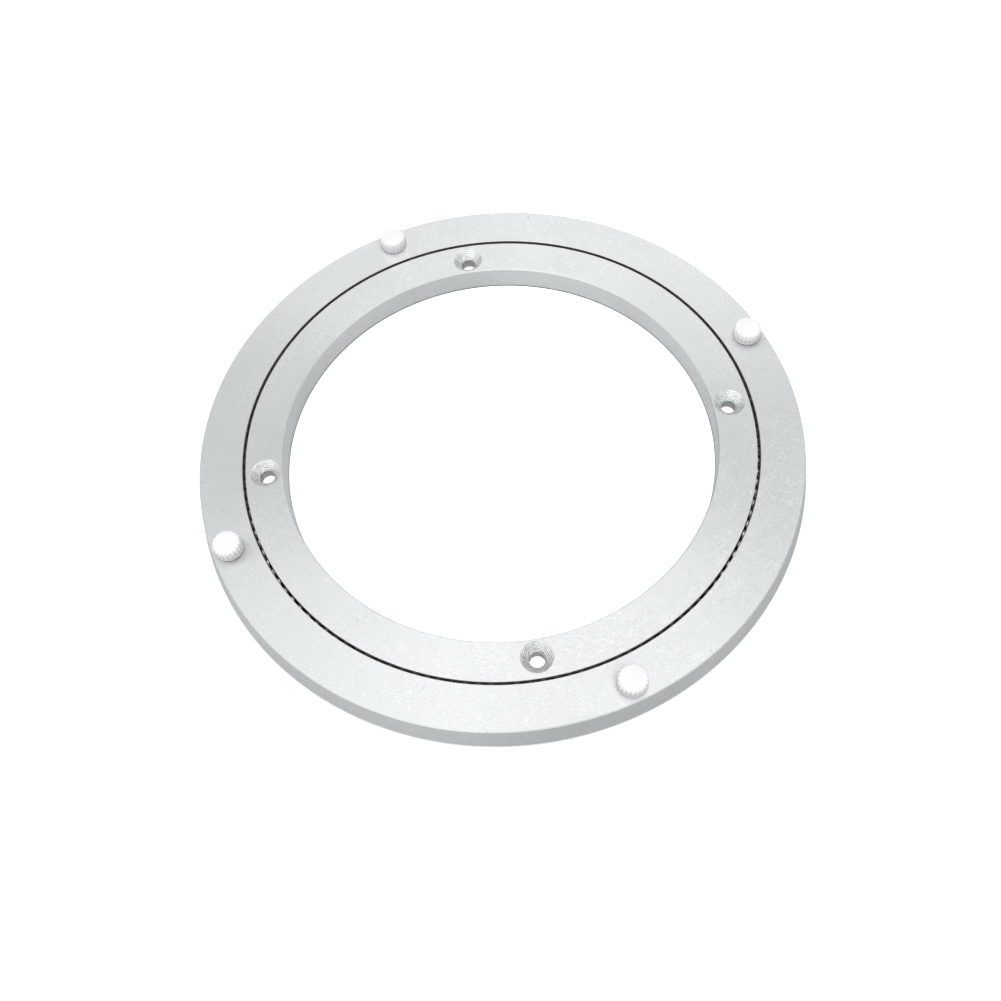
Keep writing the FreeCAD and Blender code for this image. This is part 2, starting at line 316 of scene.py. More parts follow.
BLASTED_GRAIN = NodeGroup("blasted_grain", {"Scale": 1500.0}, ("Grain", "Clouds"), wire_grain)
TURNED_STREAKS = NodeGroup(
    "turned_streaks", {"Along": 82.0, "Across": 1900.0}, ("Streaks",), wire_streaks
)
SCATTERED_SPECKS = NodeGroup(
    "scattered_specks", {"Scale": 300.0, "Size": 0.3, "Share": 0.2}, ("Mask",), wire_specks
)
TOOL_RINGS = NodeGroup(
    "tool_rings", {"Circle radius": 0.0767, "Rings": 14000.0}, ("Rings", "Chatter"), wire_rings
)


def shade(colour: Colour, share: float) -> Colour:
    """Return a colour made darker or lighter by a share."""
    red, green, blue = (channel * share for channel in colour[:3])
    return (red, green, blue, 1.0)


def turned_by(share: float, tangent: Socket) -> dict[str, object]:
    """Return the shader inputs that stretch highlights across the way a surface was turned."""
    return {"Anisotropic": share, "Anisotropic_Rotation": QUARTER_TURN, "Tangent": tangent}


@dataclass(frozen=True)
class Finish:
    """A finish with a plain shader; the kinds below add what varies over the surface."""

    name: str
    colour: Colour
    metallic: float
    roughness: float

    def build(self) -> bpy.types.Material:
        """Make the finish's material the first time.

        Returns:
            The material.
        """
        if self.name in bpy.data.materials:
            return bpy.data.materials[self.name]
        material = bpy.data.materials.new(self.name)
        material.use_nodes = True
        material.diffuse_color = self.colour
        graph = Graph(material.node_tree)
        shader = graph.add(
            "BsdfPrincipled", Base_Color=self.colour, Metallic=self.metallic, Roughness=self.roughness
        )
        graph.add("OutputMaterial", Surface=shader.outputs[0])
        graph.feed(shader, **self.vary(graph, graph.add("TexCoord").outputs["Object"]))
        return material

    def vary(self, graph: Graph, place: Socket) -> dict[str, object]:
        """Return the shader inputs that change with the place on the surface."""
        return {}


@dataclass(frozen=True)
class BlastedAluminium(Finish):
    """Sandblasted aluminium: a matt, faintly cloudy grey with dark pits, and smoother flecks painted
    lighter as glints.
    """

    turned: float = 0.95
    grain_scale: float = 1500.0
    grain_depth: float = 0.00002
    contrast: float = 0.065
    pits: tuple[float, float, float] = (1000.0, 0.36, 0.14)
    flecks: tuple[float, float, float] = (860.0, 0.36, 0.16)
    pit_look: tuple[float, float] = (0.35, 0.72)
    # How strongly and how much lighter the flecks are painted, as glints
    painted_glint_look: tuple[float, float] = (0.4, 1.1)
    streak_looks: tuple[tuple[float, float, float], ...] = ((0.40, 0.12, 0.93), (0.60, 0.88, 1.08))
    fleck_shift: tuple[float, float, float] = (0.037, 0.011, 0.0)
    cloud_share: float = 0.6
    pit_depth: float = 0.5
    bump: float = 0.35
    swing: float = 0.04

    def vary(self, graph: Graph, place: Socket) -> dict[str, object]:
        """Wire grain, clouds, streaks, pits and flecks.

        Args:
            graph: the material's graph.
            place: the object coordinates.

        Returns:
            The shader's colour, roughness, normal and turned inputs.
        """
        grain = BLASTED_GRAIN.use(graph, Vector=place, Scale=self.grain_scale)
        shifted = graph.add("Mapping", Vector=place, Location=self.fleck_shift).outputs[0]
        pits, flecks = (
            SCATTERED_SPECKS.use(graph, Vector=vector, Scale=scale, Size=size, Share=share).outputs[0]
            for vector, (scale, size, share) in ((place, self.pits), (shifted, self.flecks))
        )
        dark, light = (shade(self.colour, 1 + side * self.contrast) for side in (-1, 1))
        colour = graph.mix(grain.outputs["Grain"], dark, light)
        clouds = graph.math("MULTIPLY", grain.outputs["Clouds"], self.cloud_share)
        colour = graph.mix(clouds, colour, shade(self.colour, 1 - self.contrast))
        streaks = TURNED_STREAKS.use(graph, Vector=place).outputs[0]
        for low, high, share in self.streak_looks:
            streak = graph.remap(streaks, low, high, 0.0, 1.0)
            colour = graph.mix(streak, colour, shade(self.colour, share))
        # The flecks' lighter colour is a painted glint; their lower roughness is real
        for mask, (strength, share) in ((pits, self.pit_look), (flecks, self.painted_glint_look)):
            colour = graph.mix(graph.math("MULTIPLY", mask, strength), colour, shade(self.colour, share))
        smooth, rough = self.roughness - self.swing, self.roughness + self.swing
        rough = graph.remap(grain.outputs["Grain"], 0.0, 1.0, smooth, rough)
        rough = graph.math("SUBTRACT", rough, graph.math("MULTIPLY", flecks, self.swing))
        holes = graph.math("MULTIPLY", pits, self.pit_depth)
        height = graph.math("SUBTRACT", grain.outputs["Grain"], holes)
        bump = graph.add("Bump", Height=height, Strength=self.bump, Distance=self.grain_depth).outputs[0]
        tangent = graph.add("Tangent", {"direction_type": "RADIAL", "axis": "Z"}).outputs[0]
        turned = turned_by(self.turned, tangent)
        return {"Base_Color": colour, "Roughness": rough, "Normal": bump, **turned}


@dataclass(frozen=True)
class CutAluminium(Finish):
    """Bright aluminium as a countersink leaves it: rings and chatter that stretch what they mirror."""

    circle_radius: float = 0.0767
    turned: float = 0.35
    depth: float = 0.0002
    shades: tuple[float, float] = (0.76, 1.03)
    chatter_share: float = 0.5
    bump: float = 0.6
    swing: float = 0.08

    def vary(self, graph: Graph, place: Socket) -> dict[str, object]:
        """Wire the cutter's rings and chatter.

        Args:
            graph: the material's graph.
            place: the object coordinates.

        Returns:
            The shader's colour, roughness, normal and turned inputs.
        """
        cut = TOOL_RINGS.use(graph, Vector=place, Circle_radius=self.circle_radius)
        rings, chatter = cut.outputs["Rings"], cut.outputs["Chatter"]
        dark, light = (shade(self.colour, share) for share in self.shades)
        lighter = graph.math("MULTIPLY", chatter, self.chatter_share)
        colour = graph.mix(lighter, graph.mix(rings, dark, light), light)
        rough = graph.remap(rings, 0.0, 1.0, self.roughness + self.swing, self.roughness - self.swing)
        height = graph.math("ADD", rings, chatter)
        bump = graph.add("Bump", Height=height, Strength=self.bump, Distance=self.depth).outputs[0]
        x, y = beside_hole(graph, place, self.circle_radius)
        around = graph.add("CombineXYZ", X=graph.math("MULTIPLY", y, -1.0), Y=x).outputs[0]
        around = graph.add("VectorMath", {"operation": "NORMALIZE"}, i0=around).outputs[0]
        turned = turned_by(self.turned, around)
        return {"Base_Color": colour, "Roughness": rough, "Normal": bump, **turned}


@dataclass(frozen=True)
class MouldedPlastic(Finish):
    """Moulded plastic with a faint orange-peel surface, an uneven colour and painted shade that greys it
    towards its foot.
    """

    peel_scale: float = 900.0
    peel_depth: float = 0.00002
    cloud_scale: float = 190.0
    cloud_shade: float = 0.96
    bump: float = 0.3
    # Between which heights painted shade fades out upwards, and how dark it is at the bottom
    foot: tuple[float, float] = (0.0, 0.001)
    painted_foot_shade: float = 1.0

    def vary(self, graph: Graph, place: Socket) -> dict[str, object]:
        """Wire the peel, the uneven colour and the painted shade towards the foot.

        Args:
            graph: the material's graph.
            place: the object coordinates.

        Returns:
            The shader's colour, roughness and normal inputs.
        """
        peel = graph.noise(place, self.peel_scale)
        clouds = graph.remap(graph.noise(place, self.cloud_scale), 0.35, 0.65, 0.0, 1.0)
        colour = graph.mix(clouds, self.colour, shade(self.colour, self.cloud_shade))
        # Painted shade: darker towards the foot, where the cap meets the ring
        height = graph.add("SeparateXYZ", Vector=place).outputs[2]
        rise = graph.remap(height, *self.foot, 0.0, 1.0)
        colour = graph.mix(rise, shade(self.colour, self.painted_foot_shade), colour)
        rough = graph.remap(peel, 0.3, 0.7, self.roughness - 0.05, self.roughness + 0.07)
        bump = graph.add("Bump", Height=peel, Strength=self.bump, Distance=self.peel_depth).outputs[0]
        return {"Base_Color": colour, "Roughness": rough, "Normal": bump}


@dataclass(frozen=True)
class GreasedMetal(Finish):
    """Metal with a film of grease that dulls it in patches."""

    film_scale: float = 600.0
    film_shade: float = 0.7
    film_rough: float = 0.15

    def vary(self, graph: Graph, place: Socket) -> dict[str, object]:
        """Wire the film.

        Args:
            graph: the material's graph.
            place: the object coordinates.

        Returns:
            The shader's colour and roughness inputs.
        """
        film = graph.remap(graph.noise(place, self.film_scale, 3.0, 0.6), 0.4, 0.6, 0.0, 1.0)
        colour = graph.mix(film, self.colour, shade(self.colour, self.film_shade))
        rough = graph.remap(film, 0.0, 1.0, self.roughness, self.roughness + self.film_rough)
        return {"Base_Color": colour, "Roughness": rough}


TOP_ALUMINIUM = BlastedAluminium("blasted_aluminium", (0.833, 0.838, 0.837, 1.0), 1.0, 0.42)
# The outer wall: the blasted aluminium darkened as painted shade, for the light that its side gets
SHADED_WALL_ALUMINIUM = BlastedAluminium("tapered_wall_painted_shade", (0.592, 0.605, 0.605, 1.0), 1.0, 0.42)
# The bore: the blasted aluminium darkened a little as painted shade, set to the light the bore gets
SHADED_BORE_ALUMINIUM = BlastedAluminium("bored_wall_painted_shade", (0.763, 0.783, 0.779, 1.0), 1.0, 0.42)
SEAT_ALUMINIUM = CutAluminium("cut_aluminium", (0.96, 0.965, 0.965, 1.0), 1.0, 0.36)
# The screw holes' shank: the cut aluminium darkened as painted shade inside the hole
SHADED_SHANK_ALUMINIUM = CutAluminium("drilled_shank_painted_shade", (0.88, 0.885, 0.885, 1.0), 1.0, 0.4)
# The faces inside the gap: metal with patches of grease, its dark colour painted shade in the narrow gap
SHADED_RACE_ALUMINIUM = GreasedMetal("greased_race_painted_shade", (0.48, 0.487, 0.487, 1.0), 1.0, 0.45)
# The caps: white plastic with painted shade that greys their lower sides
CAP_WHITE = MouldedPlastic(
    "white_caps", (0.925, 0.925, 0.918, 1.0), 0.0, 0.45, foot=(0.0086, 0.0122), painted_foot_shade=0.57
)
# Natural nylon darkened as painted shade, for the prongs deep in the slot
SHADED_CAGE_NYLON = MouldedPlastic("natural_nylon_painted_shade", (0.395, 0.388, 0.368, 1.0), 0.0, 0.5)
BALL_STEEL = GreasedMetal("bearing_steel", (0.684, 0.69, 0.697, 1.0), 1.0, 0.28)
PLUG_STEEL = GreasedMetal("plated_plug", (0.55, 0.565, 0.59, 1.0), 1.0, 0.3)


# Meshes


def spun(profile: Iterable[tuple[float, float]], steps: int) -> Shape:
    """Turn a closed profile once round Z.

    Args:
        profile: the profile's corners as reach and height.
        steps: how many steps the turn has.

    Returns:
        The turned shape.
    """
    shape = bmesh.new()
    corners = [shape.verts.new((reach, 0.0, height)) for reach, height in profile]
    edges = [shape.edges.new((corners[place - 1], corner)) for place, corner in enumerate(corners)]
    bmesh.ops.spin(
        shape,
        geom=corners + edges,
        cent=(0, 0, 0),
        axis=(0, 0, 1),
        angle=2 * math.pi,
        steps=steps,
        use_merge=True,
    )
    tidy(shape)
    return shape


def solid(profile: list[tuple[float, float]], steps: int) -> Shape:
    """Turn an open profile into a full shape with flat ends.

    Args:
        profile: the corners between both ends as reach and height.
        steps: how many steps the turn has.

    Returns:
        The turned shape.
    """
    shape = spun([(NEAR_AXIS, profile[0][1]), *profile, (NEAR_AXIS, profile[-1][1])], steps)
    bmesh.ops.holes_fill(shape, edges=shape.edges, sides=0)
    return shape


def tidy(shape: Shape) -> None:
    """Merge doubled corners and turn all faces outwards."""
    bmesh.ops.remove_doubles(shape, verts=shape.verts, dist=0.0005)
    bmesh.ops.recalc_face_normals(shape, faces=shape.faces)


def moved(shape: Shape, matrix: Matrix) -> Shape:
    """Return a shape after a transform of all its corners."""
    bmesh.ops.transform(shape, matrix=matrix, verts=shape.verts)
    return shape


def round_z(degrees: float) -> Matrix:
    """Return a turn about Z."""
    return Matrix.Rotation(math.radians(degrees), 4, "Z")


def sideways(degrees: float, reach: float, height: float) -> Matrix:
    """Return what lays an upright shape down at a height, to point away from the axis."""
    place = Matrix.Translation((reach, 0, height))
    return round_z(degrees) @ place @ Matrix.Rotation(math.pi / 2, 4, "Y")


def joined(shapes: Iterable[Shape]) -> Shape:
    """Put several shapes together, and free them.

    Args:
        shapes: the shapes.

    Returns:
        All of them as one shape.
    """
    whole = bmesh.new()
    for shape in shapes:
        mesh = bpy.data.meshes.new("shape")
        shape.to_mesh(mesh)
        shape.free()
        whole.from_mesh(mesh)
        bpy.data.meshes.remove(mesh)
    return whole


def plain_object(shape: Shape, name: str) -> bpy.types.Object:
    """Put a shape into the scene, and free it.

    Args:
        shape: the shape.
        name: what the object is called.

    Returns:
        The object.
    """
    mesh = bpy.data.meshes.new(name)
    shape.to_mesh(mesh)
    shape.free()
    thing = bpy.data.objects.new(name, mesh)
    bpy.context.scene.collection.objects.link(thing)
    return thing


def carved(shape: Shape, cutters: Iterable[Shape]) -> Shape:
    """Cut shapes out of another; new faces keep their cutter's material place.

    Args:
        shape: the shape to cut.
        cutters: closed shapes that don't touch each other.

    Returns:
        The cut shape.
    """
    blank = plain_object(shape, "blank")
    tool = plain_object(joined(cutters), "tool")
    for thing in (blank, tool):
        for _ in Place:
            thing.data.materials.append(None)
    change = blank.modifiers.new("Cut", "BOOLEAN")
    change.object = tool
    change.operation = "DIFFERENCE"
    change.solver = "EXACT"
    bpy.context.view_layer.update()
    mesh = bpy.data.meshes.new_from_object(blank.evaluated_get(bpy.context.evaluated_depsgraph_get()))
    cut = bmesh.new()
    cut.from_mesh(mesh)
    for thing in (blank, tool):
        data = thing.data
        bpy.data.objects.remove(thing)
        bpy.data.meshes.remove(data)
    bpy.data.meshes.remove(mesh)
    return cut


@dataclass
class Piece:
    """What every piece of the bearing has: a name, a body, a slot and its finishes."""

    name: str
    body: Body
    slot: Slot
    finishes: tuple[Finish, ...]
    sharp: float = 28.0

    def shape(self) -> Shape:
        """Return the piece's shape in millimetres."""
        raise NotImplementedError

    def build(self) -> bpy.types.Object:
        """Make the piece in place of its CAD node.

        Returns:
            The piece's object.
        """
        shape = self.shape()
        moved(shape, Matrix.Scale(MM, 4))
        limit = math.radians(self.sharp)
        for face in shape.faces:
            face.smooth = True
        for edge in shape.edges:
            edge.smooth = len(edge.link_faces) == 2 and edge.calc_face_angle(math.pi) < limit
        faces = len(shape.faces)
        thing = plain_object(shape, f"{self.name}_look")
        for finish in self.finishes:
            thing.data.materials.append(finish.build())
        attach(thing, self.body.value)
        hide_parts(self.name)
        LOG.info("%s: %d faces on %s", self.name, faces, self.body.value)
        return thing


@dataclass
class Race:
    """The V race that both rings share."""

    pitch_radius: float = 83.825
    height: float = 4.5
    reach: float = 2.263
    half_gap: float = 0.475
    lands: float = 3.5

    def mouth(self) -> float:
        """Return how far above the race's middle its flank meets the gap."""
        return self.reach - self.half_gap


@dataclass
class OuterRing(Piece):
    """The turning ring: tapered wall, V race, and the holes for caps and plug."""

    name: str = "outer_ring"
    body: Body = Body.TURNTABLE
    slot: Slot = Slot.RING
    finishes: tuple[Finish, ...] = (TOP_ALUMINIUM, SEAT_ALUMINIUM, SHADED_RACE_ALUMINIUM, SHADED_WALL_ALUMINIUM)
    race: Race = field(default_factory=Race)
    foot_radius: float = 100.0
    head_radius: float = 98.4
    low: float = 0.4
    high: float = 8.9
    rim: float = 0.3
    lip: float = 0.12
    steps: int = 288
    plug_turn: float = 61.1
    plug_radius: float = 2.05
    drill_reach: float = 95.0
    drill_half: float = 10.0
    drill_steps: int = 32

    def shape(self) -> Shape:
        """Turn the ring and drill it for its plug.

        Returns:
            The ring's shape.
        """
        race, land = self.race, self.race.pitch_radius + self.race.half_gap
        slope = (self.foot_radius - self.head_radius) / (self.high - self.rim - self.low)
        ring = spun(
            [
                (land + self.lip, self.low),
                (self.foot_radius - self.rim, self.low),
                (self.foot_radius - self.rim * slope, self.low + self.rim),
                (self.head_radius, self.high - self.rim),
                (self.head_radius - self.rim, self.high),
                (land + self.lip, self.high),
                (land, self.high - self.lip),
                (land, race.height + race.mouth()),
                (race.pitch_radius + race.reach, race.height),
                (land, race.height - race.mouth()),
                (land, self.low + self.lip),
            ],
            self.steps,
        )
        give_race_painted_shade(ring, race)
        give_wall_painted_shade(ring, self.head_radius - self.rim / 2, self.foot_radius)
        drill = solid([(self.plug_radius, side * self.drill_half) for side in (-1, 1)], self.drill_steps)
        turn = sideways(self.plug_turn, self.drill_reach, race.height)
        return carved(ring, [moved(drill, turn)])


def give_race_painted_shade(ring: Shape, race: Race) -> None:
    """Give the faces inside the gap the race's finish, darkened as painted shade, but not the gap's lips.

    Args:
        ring: the ring's shape.
        race: the race it has.
    """
    for face in ring.faces:
        centre = face.calc_center_median()
        inside = abs(centre.xy.length - race.pitch_radius) < race.reach
        if inside and abs(centre.z - race.height) < race.lands:
            face.material_index = Place.SHADED_RACE


def give_wall_painted_shade(ring: Shape, low: float, high: float) -> None:
    """Give the faces of a ring's wall the wall's finish, whose darker colour is painted shade.

    Args:
        ring: the ring's shape.
        low: how far from the axis the wall starts.
        high: how far from the axis it ends.
    """
    for face in ring.faces:
        if abs(face.normal.z) < 0.5 and low < face.calc_center_median().xy.length < high:
            face.material_index = Place.SHADED_WALL


@dataclass
class InnerRing(Piece):
    """The fixed ring: bore, V race, and four screw holes with a seat in both faces."""

    name: str = "inner_ring"
    body: Body = Body.BASE
    slot: Slot = Slot.RING
    finishes: tuple[Finish, ...] = (
        TOP_ALUMINIUM,
        SEAT_ALUMINIUM,
        SHADED_RACE_ALUMINIUM,
        SHADED_BORE_ALUMINIUM,
        SHADED_SHANK_ALUMINIUM,
    )
    race: Race = field(default_factory=Race)
    bore_radius: float = 71.0
    high: float = 8.7
    rim: float = 0.3
    lip: float = 0.12
    steps: int = 288
    hole_circle: float = 76.7
    holes: int = 4
    hole_radius: float = 2.4
    seat_radius: float = 5.0
    drill_steps: int = 64
    upright: float = 0.3

    def shape(self) -> Shape:
        """Turn the ring and drill it for its screws.

        Returns:
            The ring's shape.
        """
        race, land = self.race, self.race.pitch_radius - self.race.half_gap
        ring = spun(
            [
                (self.bore_radius + self.rim, 0),
                (land - self.lip, 0),
                (land, self.lip),
                (land, race.height - race.mouth()),
                (race.pitch_radius - race.reach, race.height),
                (land, race.height + race.mouth()),
                (land, self.high - self.lip),
                (land - self.lip, self.high),
                (self.bore_radius + self.rim, self.high),
                (self.bore_radius, self.high - self.rim),
                (self.bore_radius, self.rim),
            ],
            self.steps,
        )
        give_race_painted_shade(ring, race)
        give_wall_painted_shade(ring, 0.0, self.bore_radius + self.rim / 4)
        return carved(ring, [self.drill(place) for place in range(self.holes)])

    def drill(self, place: int) -> Shape:
        """Make the shape of one screw hole with its two seats.

        Args:
            place: which of the holes it is.

        Returns:
            The hole's shape.
        """
        over, bevel = 1.0, 0.12
        depth = self.seat_radius - self.hole_radius
        wide = self.seat_radius + over
        drill = solid(
            [
                (wide, -over),
                (self.hole_radius + bevel, depth - bevel),
                (self.hole_radius, depth + bevel),
                (self.hole_radius, self.high - depth - bevel),
                (self.hole_radius + bevel, self.high - depth + bevel),
                (wide, self.high + over),
            ],
            self.drill_steps,
        )
        for face in drill.faces:
            # The shank takes the cut aluminium darkened as painted shade
            face.material_index = Place.SHADED_SHANK if abs(face.normal.z) < self.upright else Place.SEAT
        turn = round_z(360 * place / self.holes)
        return moved(drill, turn @ Matrix.Translation((self.hole_circle, 0, 0)))


@dataclass
class Cap(Piece):
    """A white cap: a plain skirt, a serrated crown and a stem in the ring."""

    index: int = 0
    name: str = ""
    body: Body = Body.TURNTABLE
    slot: Slot = Slot.CAP
    finishes: tuple[Finish, ...] = (CAP_WHITE,)
    sharp: float = 50.0
    circle_radius: float = 92.7
    first_turn: float = 16.1
    seat: float = 8.9
    skirt_radius: float = 4.6
    skirt_height: float = 0.8
    skirt_edge: float = 0.15
    base_steps: int = 64
    crown_radius: float = 4.5
    crown_round: float = 0.65
    round_steps: int = 6
    height: float = 4.4
    notches: int = 20
    notch_depth: float = 0.42
    undercut: float = 0.45
    stem_radius: float = 2.0
    stem_length: float = 5.0

    def __post_init__(self) -> None:
        """Name the cap after its place."""
        self.name = f"pad_{self.index + 1}"

    def shape(self) -> Shape:
        """Put the cap together in its place on the ring.

        Returns:
            The cap's shape.
        """
        turn = round_z(self.first_turn + 90 * self.index)
        place = turn @ Matrix.Translation((self.circle_radius, 0, self.seat))
        return moved(joined([self.base(), self.crown()]), place)

    def base(self) -> Shape:
        """Turn the skirt and the stem in one.

        Returns:
            Their shape.
        """
        edge, under = self.skirt_edge, self.undercut
        return solid(
            [
                (self.stem_radius, -self.stem_length),
                (self.stem_radius, 0.0),
                (self.skirt_radius - under, 0.0),
                (self.skirt_radius - under / 4, under * 0.75),
                (self.skirt_radius, under),
                (self.skirt_radius, self.skirt_height - edge),
                (self.skirt_radius - edge, self.skirt_height),
            ],
            self.base_steps,
        )

    def crown(self) -> Shape:
        """Make the serrated crown, rounded over at its top, where the notches run out.

        Returns:
            The crown's shape.
        """
        crown = bmesh.new()
        foot = self.skirt_height * 0.6
        shoulder = self.height - self.crown_round
        outlines = [self.outline(crown, foot, self.crown_radius, self.notch_depth)]
        for step in range(self.round_steps + 1):
            turn = math.pi / 2 * step / self.round_steps
            radius = self.crown_radius - self.crown_round * (1 - math.cos(turn))
            height = shoulder + self.crown_round * math.sin(turn)
            outlines.append(self.outline(crown, height, radius, self.notch_depth * math.cos(turn * 0.55)))
        for lower, upper in zip(outlines, outlines[1:]):
            bmesh.ops.bridge_loops(crown, edges=lower + upper)
        bmesh.ops.holes_fill(crown, edges=outlines[0] + outlines[-1], sides=0)
        tidy(crown)
        return crown

    def outline(
        self, crown: Shape, height: float, radius: float, depth: float
    ) -> list[bmesh.types.BMEdge]:
        """Draw the crown's outline at one height.

        Args:
            crown: the shape to draw it in.
            height: how high it lies.
            radius: how far its teeth reach.
            depth: how deep its notches are.

        Returns:
            The outline's edges.
        """
        corners = bmesh.ops.create_circle(crown, segments=self.notches * 6, radius=radius)["verts"]
        for corner in corners:
            turn = math.degrees(math.atan2(corner.co.y, corner.co.x)) % 360
            share = turn * self.notches / 360 % 1
            dip = min(1.0, max(0.0, 1.5 - min(share, 1 - share) / 0.2))
            corner.co.xy = corner.co.xy * (1 - depth / radius * dip)
            corner.co.z = height
        return list({edge for corner in corners for edge in corner.link_edges})


@dataclass
class FillerPlug(Piece):
    """The set screw that closes the ball filling hole."""

    name: str = "filler_plug"
    body: Body = Body.TURNTABLE
    slot: Slot = Slot.PLUG
    finishes: tuple[Finish, ...] = (PLUG_STEEL,)
    turn: float = 61.1
    radius: float = 2.0
    edge: float = 0.3
    tip: float = 85.475
    head: float = 98.75
    race_height: float = 4.5
    socket_radius: float = 1.155
    socket_depth: float = 2.2
    steps: int = 48

    def shape(self) -> Shape:
        """Make the plug with its hexagon socket, and lay it into its hole.

        Returns:
            The plug's shape.
        """
        length = self.head - self.tip
        plug = solid(
            [
                (self.radius - self.edge, 0),
                (self.radius, self.edge),
                (self.radius, length - self.edge),
                (self.radius - self.edge, length),
            ],
            self.steps,
        )
        socket = bmesh.new()
        bmesh.ops.create_cone(
            socket,
            cap_ends=True,
            segments=6,
            radius1=self.socket_radius,
            radius2=self.socket_radius,
            depth=2 * self.socket_depth,
            matrix=Matrix.Translation((0, 0, length)),
        )
        return moved(carved(plug, [socket]), sideways(self.turn, self.tip, self.race_height))


@dataclass
class BallRow(Piece):
    """The steel balls of one cage strip."""

    index: int = 0
    name: str = ""
    body: Body = Body.CAGE
    slot: Slot = Slot.BALL
    finishes: tuple[Finish, ...] = (BALL_STEEL,)
    sharp: float = 180.0
    pitch_radius: float = 83.825
    race_height: float = 4.5
    ball_radius: float = 1.5
    strips: int = 9
    pockets: int = 15

    def __post_init__(self) -> None:
        """Name the row after its strip."""
        self.name = f"balls_{self.index + 1}"

    def shape(self) -> Shape:
        """Put the row's balls into their pockets.

        Returns:
            The balls' shape.
        """
        row = bmesh.new()
        step = 360 / (self.strips * self.pockets)
        out = Matrix.Translation((self.pitch_radius, 0, self.race_height))
        for pocket in range(self.pockets):
            turn = round_z((self.index * self.pockets + pocket + 0.5) * step)
            bmesh.ops.create_icosphere(row, subdivisions=2, radius=self.ball_radius, matrix=turn @ out)
        return row


@dataclass
class CageStrip(Piece):
    """One comb strip of the cage: a spine below the balls, and prongs that narrow towards the slot."""

    index: int = 0
    name: str = ""
    body: Body = Body.CAGE
    slot: Slot = Slot.CAGE
    finishes: tuple[Finish, ...] = (SHADED_CAGE_NYLON,)
    inside: float = 83.8
    outside: float = 84.2
    tip_inside: float = 84.0
    foot: float = 1.5
    floor: float = 2.94
    tip: float = 6.0
    prong_half: float = 0.42
    tip_half: float = 0.35
    end_gap: float = 0.1
    strips: int = 9
    pockets: int = 15

    def __post_init__(self) -> None:
        """Name the strip after its place."""
        self.name = f"cage_strip_{self.index + 1}"

    def shape(self) -> Shape:
        """Make the strip in its place between the rings.

        Returns:
            The strip's shape.
        """
        step = 360 / (self.strips * self.pockets)
        last = self.pockets * step
        parts = []
        end = math.degrees(self.end_gap / self.outside)
        for pocket in range(self.pockets):
            low = pocket * step + (end if pocket == 0 else 0.0)
            high = (pocket + 1) * step - (end if pocket == self.pockets - 1 else 0.0)
            parts.append(self.block((low, high), (low, high), (self.foot, self.floor), self.inside))
        for prong in range(self.pockets + 1):
            half, tip = (math.degrees(reach / self.outside) for reach in (self.prong_half, self.tip_half))
            below, above = (
                (max(prong * step - reach, end), min(prong * step + reach, last - end))
                for reach in (half, tip)
            )
            parts.append(self.block(below, above, (self.floor, self.tip), self.tip_inside))
        strip = joined(parts)
        tidy(strip)
        return moved(strip, round_z(360 * self.index / self.strips))

    def block(
        self,
        below: tuple[float, float],
        above: tuple[float, float],
        heights: tuple[float, float],
        tip_inside: float,
    ) -> Shape:
        """Make a short curved block, narrower at its top if wanted.

        Args:
            below: between which angles its foot lies.
            above: between which angles its top lies.
            heights: the heights of both.
            tip_inside: how far from the axis its top starts.

        Returns:
            The block's shape.
        """
        block = bmesh.new()
        rings = []
        for angles, height, inside in ((below, heights[0], self.inside), (above, heights[1], tip_inside)):
            ring = []
            for reach, angle in ((inside, 0), (self.outside, 0), (self.outside, 1), (inside, 1)):
                turn = math.radians(angles[angle])
                ring.append(block.verts.new((reach * math.cos(turn), reach * math.sin(turn), height)))
            rings.append(ring)
        low, high = rings
        block.faces.new(low)
        block.faces.new(high)
        for place in range(4):
            block.faces.new((low[place - 1], low[place], high[place], high[place - 1]))
        bmesh.ops.recalc_face_normals(block, faces=block.faces)
        return block


# Studio


@dataclass
class Lamp:
    """A rectangular soft lamp that faces a point."""

    name: str
    place: tuple[float, float, float]
    aim: tuple[float, float, float]
    width: float
    length: float
    watts: float
    colour: tuple[float, float, float] = (1.0, 1.0, 1.0)

    def build(self) -> None:
        """Hang the lamp."""
        light = bpy.data.lights.new(self.name, "AREA")
        light.shape = "RECTANGLE"
        light.size, light.size_y = self.width, self.length
        light.energy, light.color = self.watts, self.colour
        thing = bpy.data.objects.new(self.name, light)
        thing.location = self.place
        thing.rotation_euler = (Vector(self.aim) - Vector(self.place)).to_track_quat("-Z", "Y").to_euler()
        bpy.context.scene.collection.objects.link(thing)


